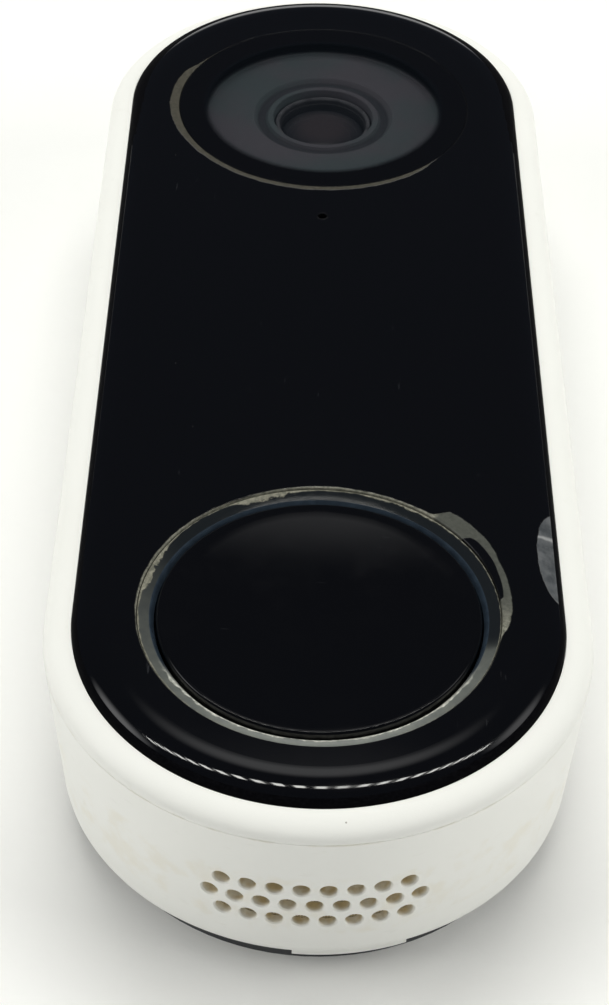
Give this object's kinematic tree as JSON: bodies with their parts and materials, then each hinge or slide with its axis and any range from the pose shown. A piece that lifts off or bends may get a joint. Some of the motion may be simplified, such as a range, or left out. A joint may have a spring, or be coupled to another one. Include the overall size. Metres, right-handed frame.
{
  "type": "video doorbell",
  "caption": "Racetrack-shaped wired video doorbell with a round camera window, ringed push button, end-wall speaker grille and clip-on wall plate.",
  "frame": {"origin": "centre of the wall plate's back face, which lies on the wall or table", "axes": "+Z out of the front face, +Y towards the camera end, +X to the right seen from the front with the camera up"},
  "size_m": [0.043, 0.117, 0.0193],
  "materials": {
    "white_plastic": "satin",
    "black_gloss": "polished",
    "window_glass": "polished",
    "lens_glass": "polished",
    "black_plastic": "matte",
    "cap_plastic": "polished",
    "light_guide": "translucent",
    "shroud_plastic": "matte",
    "dark_grey_plastic": "matte",
    "rubber_black": "matte",
    "silicone": "translucent",
    "circuit_board": "solder mask",
    "black_board": "solder mask",
    "steel": "bright",
    "aluminium": "satin",
    "brass": "plated",
    "led_white": "clear",
    "flex_film": "film",
    "cone_paper": "matte",
    "mesh_fabric": "woven"
  },
  "bodies": {
    "wall_plate": {"wall_plate": "dark_grey_plastic"},
    "housing": {"rear_cover": "dark_grey_plastic", "rear_gasket": "rubber_black", "cover_screws": "steel", "back_shell": "white_plastic", "front_shell": "white_plastic", "front_panel": "black_gloss", "panel_adhesive": "rubber_black", "mid_frame": "black_plastic", "camera_window": "window_glass", "window_gasket": "rubber_black", "camera_shroud": "shroud_plastic", "ir_board": "black_board", "ir_leds": "led_white", "lens_barrel": "black_plastic", "front_lens": "lens_glass", "rear_lens": "lens_glass", "lens_holder": "black_plastic", "image_sensor": "black_board", "camera_board": "circuit_board", "camera_flex": "flex_film", "light_ring": "light_guide", "button_seal": "silicone", "led_board": "circuit_board", "ring_leds": "led_white", "tactile_switch": "steel", "microphone": "steel", "mic_mesh": "mesh_fabric", "main_board": "circuit_board", "board_screws": "steel", "board_connector": "black_plastic", "processor": "black_board", "thermal_pad": "silicone", "heat_spreader": "aluminium", "wifi_module": "steel", "antenna": "flex_film", "bridge_rectifier": "black_plastic", "power_coil": "black_plastic", "power_capacitors": "aluminium", "terminal_block": "black_plastic", "terminal_plates": "brass", "service_port": "steel", "reset_switch": "black_plastic", "speaker_frame": "black_plastic", "speaker_magnet": "steel", "speaker_gasket": "rubber_black", "speaker_mesh": "mesh_fabric"},
    "latch": {"release_latch": "steel"},
    "button": {"button_cap": "cap_plastic", "switch_stem": "black_plastic"},
    "left_screw": {"terminal_screw_left": "steel"},
    "right_screw": {"terminal_screw_right": "steel"},
    "reset": {"reset_button": "black_plastic"},
    "cone": {"speaker_cone": "cone_paper"},
    "ir_filter": {"ir_cut_filter": "lens_glass"}
  },
  "joints": [
    {"name": "unit_lift", "type": "slide", "parent": "wall_plate", "child": "housing", "axis": [0, 0, 1], "range_m": [0, 0.03]},
    {"name": "latch_flex", "type": "hinge", "parent": "wall_plate", "child": "latch", "pos_m": [0, -0.0526, 0.00085], "axis": [-1, 0, 0], "range_deg": [0, 6], "stiffness_Nm_per_rad": 0.02},
    {"name": "button_press", "type": "slide", "parent": "housing", "child": "button", "axis": [0, 0, -1], "range_m": [0, 0.0004], "stiffness_N_per_m": 4000},
    {"name": "left_screw_turn", "type": "hinge", "parent": "housing", "child": "left_screw", "pos_m": [-0.0055, -0.012, 0.005], "axis": [0, 0, -1], "continuous": true},
    {"name": "right_screw_turn", "type": "hinge", "parent": "housing", "child": "right_screw", "pos_m": [0.0055, -0.012, 0.005], "axis": [0, 0, -1], "continuous": true},
    {"name": "reset_press", "type": "slide", "parent": "housing", "child": "reset", "axis": [0, 0, 1], "range_m": [0, 0.0003], "stiffness_N_per_m": 1000},
    {"name": "cone_throw", "type": "slide", "parent": "housing", "child": "cone", "axis": [0, -1, 0], "range_m": [-0.0003, 0.0003], "stiffness_N_per_m": 600},
    {"name": "ir_filter_slide", "type": "slide", "parent": "housing", "child": "ir_filter", "axis": [1, 0, 0], "range_m": [0, 0.0055]}
  ]
}
